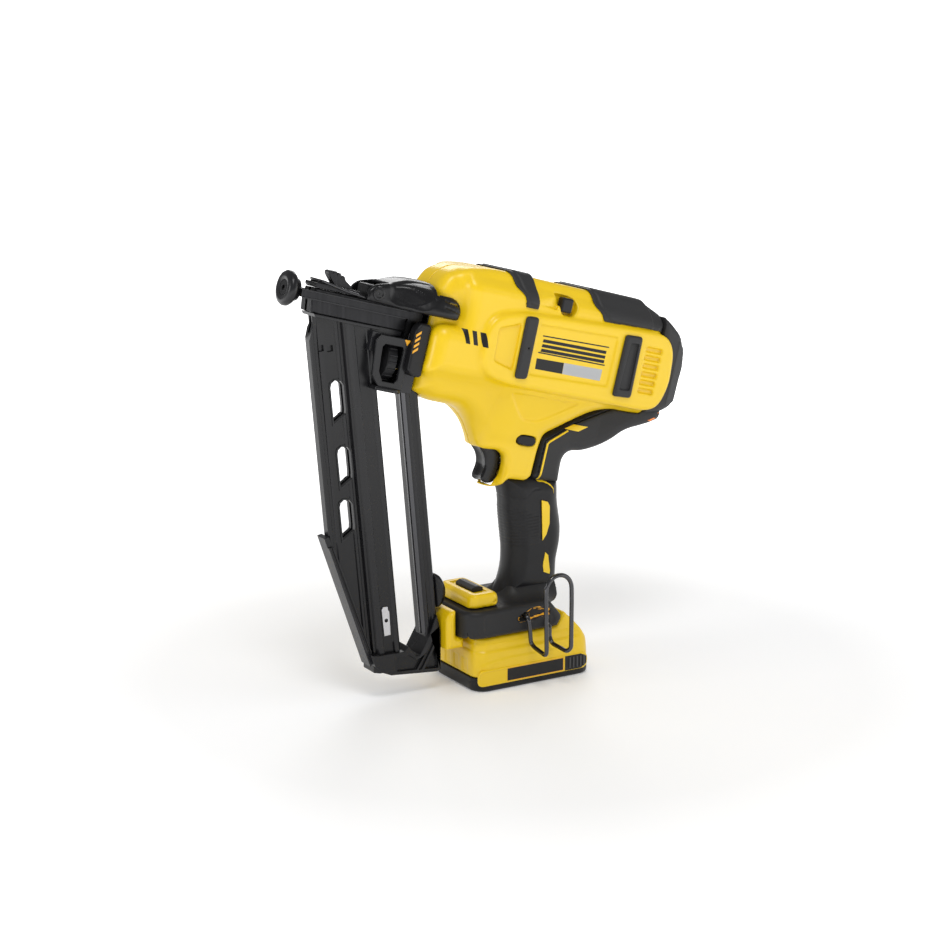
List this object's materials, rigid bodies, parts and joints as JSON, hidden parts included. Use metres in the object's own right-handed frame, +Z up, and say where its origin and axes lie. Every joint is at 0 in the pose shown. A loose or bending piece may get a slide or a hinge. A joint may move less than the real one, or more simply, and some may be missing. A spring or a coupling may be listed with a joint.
{
  "type": "brad nailer",
  "caption": "Cordless brad nailer: clamshell body, angled stick magazine, battery foot, trigger grip, sprung nose trip and wire belt hook.",
  "frame": {"origin": "centre of the battery's underside", "axes": "+Z up, nose towards -X and tilted 15 degrees up, tool's left side (belt hook) towards -Y"},
  "size_m": [0.3629, 0.1136, 0.3586],
  "materials": {
    "yellow_nylon": "satin moulded glass-filled nylon",
    "black_nylon": "fine moulded texture",
    "dark_rubber": "soft matt overmould",
    "black_steel": "black oxide, oiled",
    "hook_wire": "gloss black dipped wire",
    "steel": "ground",
    "aluminium": "die cast",
    "circuit_board": "coated board",
    "copper_coil": "varnished winding",
    "cell_wrap": "shrink wrap"
  },
  "bodies": {
    "tool": {"left_housing": "yellow_nylon", "right_housing": "yellow_nylon", "mode_housing": "yellow_nylon", "left_grip_inlay": "yellow_nylon", "right_grip_inlay": "yellow_nylon", "magazine_mount_block": "yellow_nylon", "grip_overmould": "black_nylon", "trigger_switch": "black_nylon", "depth_guard": "black_nylon", "magazine_foot": "black_nylon", "terminal_block": "black_nylon", "magazine_track": "black_nylon", "magazine_bar": "black_nylon", "rear_cap": "dark_rubber", "front_roof_bumper": "dark_rubber", "rear_roof_bumper": "dark_rubber", "left_front_bumper": "dark_rubber", "left_rear_bumper": "dark_rubber", "right_front_bumper": "dark_rubber", "right_rear_bumper": "dark_rubber", "lower_overmould": "dark_rubber", "base_cover": "dark_rubber", "nosepiece": "black_steel", "belt_hook": "hook_wire", "trigger_pin": "steel", "trigger_spring": "steel", "motor_axle": "steel", "left_bearing": "steel", "right_bearing": "steel", "left_guide_rail": "steel", "right_guide_rail": "steel", "lever_pin": "steel", "nail_strip": "steel", "wear_plate": "steel", "housing_screw_1": "steel", "housing_screw_2": "steel", "drive_casting": "aluminium", "rail_bridge": "aluminium", "control_board": "circuit_board", "solenoid": "copper_coil"},
    "trigger": {"trigger": "black_nylon"},
    "lock_off": {"lock_off_button": "black_nylon"},
    "contact_trip": {"contact_trip": "black_steel", "no_mar_pad": "dark_rubber"},
    "depth_wheel": {"depth_wheel": "black_nylon"},
    "jam_lever": {"jam_lever": "black_nylon"},
    "latch_bail": {"latch_bail": "steel"},
    "nose_door": {"nose_door": "black_nylon"},
    "stall_lever": {"stall_release_lever": "black_nylon"},
    "mode_slider": {"mode_slider": "black_nylon"},
    "battery": {"battery_lower_shell": "black_nylon", "battery_upper_shell": "yellow_nylon", "battery_cells": "cell_wrap"},
    "battery_button": {"battery_button": "black_nylon"},
    "magazine_latch": {"magazine_latch": "black_nylon"},
    "pusher": {"pusher": "steel"},
    "driver": {"driver": "steel"},
    "flywheel": {"flywheel_motor": "steel"},
    "activation_arm": {"activation_arm": "steel"},
    "pinch_roller": {"pinch_roller": "steel"}
  },
  "joints": [
    {"name": "trigger_pull", "type": "hinge", "parent": "tool", "child": "trigger", "pos_m": [-0.02455, 0, 0.20587], "axis": [0, -1, 0], "range_deg": [0, 10], "stiffness_Nm_per_rad": 0.5, "springref_deg": -5.73},
    {"name": "lock_off_push", "type": "slide", "parent": "tool", "child": "lock_off", "axis": [0, 1, 0], "range_m": [0, 0.003]},
    {"name": "trip_press", "type": "slide", "parent": "tool", "child": "contact_trip", "axis": [0.9659, 0, -0.2588], "range_m": [0, 0.0075], "stiffness_N_per_m": 600, "springref_m": -0.004},
    {"name": "depth_wheel_turn", "type": "hinge", "parent": "tool", "child": "depth_wheel", "pos_m": [-0.12334, 0, 0.28152], "axis": [0.9659, 0, -0.2588], "continuous": true},
    {"name": "jam_lever_lift", "type": "hinge", "parent": "tool", "child": "jam_lever", "pos_m": [-0.13429, 0, 0.33725], "axis": [0, -1, 0], "range_deg": [0, 95]},
    {"name": "bail_release", "type": "hinge", "parent": "tool", "child": "latch_bail", "pos_m": [-0.14103, 0, 0.33336], "axis": [0, 1, 0], "range_deg": [0, 51]},
    {"name": "nose_door_open", "type": "hinge", "parent": "tool", "child": "nose_door", "pos_m": [-0.18357, 0, 0.34652], "axis": [0, -1, 0], "range_deg": [0, 31.5]},
    {"name": "stall_release", "type": "hinge", "parent": "tool", "child": "stall_lever", "pos_m": [0.02766, -0.035, 0.31766], "axis": [0, 1, 0], "range_deg": [0, 25], "stiffness_Nm_per_rad": 0.05, "springref_deg": -5.73},
    {"name": "mode_select", "type": "slide", "parent": "tool", "child": "mode_slider", "axis": [0, 1, 0], "range_m": [0, 0.008]},
    {"name": "battery_slide", "type": "slide", "parent": "tool", "child": "battery", "axis": [1, 0, 0], "range_m": [0, 0.12]},
    {"name": "battery_release", "type": "slide", "parent": "battery", "child": "battery_button", "axis": [-1, 0, 0], "range_m": [0, 0.003], "stiffness_N_per_m": 800, "springref_m": -0.002},
    {"name": "magazine_release", "type": "hinge", "parent": "tool", "child": "magazine_latch", "pos_m": [-0.07621, 0, 0.07364], "axis": [0, 1, 0], "range_deg": [0, 8], "stiffness_Nm_per_rad": 0.5, "springref_deg": -5.73},
    {"name": "pusher_travel", "type": "slide", "parent": "tool", "child": "pusher", "axis": [0.0872, 0, -0.9962], "range_m": [0, 0.14], "stiffness_N_per_m": 60, "springref_m": -0.02},
    {"name": "driver_stroke", "type": "slide", "parent": "tool", "child": "driver", "axis": [-0.9659, 0, 0.2588], "range_m": [0, 0.05], "stiffness_N_per_m": 150, "springref_m": -0.01},
    {"name": "flywheel_spin", "type": "hinge", "parent": "tool", "child": "flywheel", "pos_m": [-0.0203, 0, 0.26426], "axis": [0, 1, 0], "continuous": true},
    {"name": "arm_press", "type": "hinge", "parent": "tool", "child": "activation_arm", "pos_m": [0.02311, 0, 0.30646], "axis": [0, -1, 0], "range_deg": [0, 2.4], "stiffness_Nm_per_rad": 2, "springref_deg": -2.86},
    {"name": "roller_spin", "type": "hinge", "parent": "activation_arm", "child": "pinch_roller", "pos_m": [-0.00927, 0, 0.30541], "axis": [0, 1, 0], "continuous": true}
  ],
  "couplings": [
    {"joint": "bail_release", "follows": "jam_lever_lift", "ratio": 0.526},
    {"joint": "nose_door_open", "follows": "jam_lever_lift", "ratio": 0.33}
  ]
}
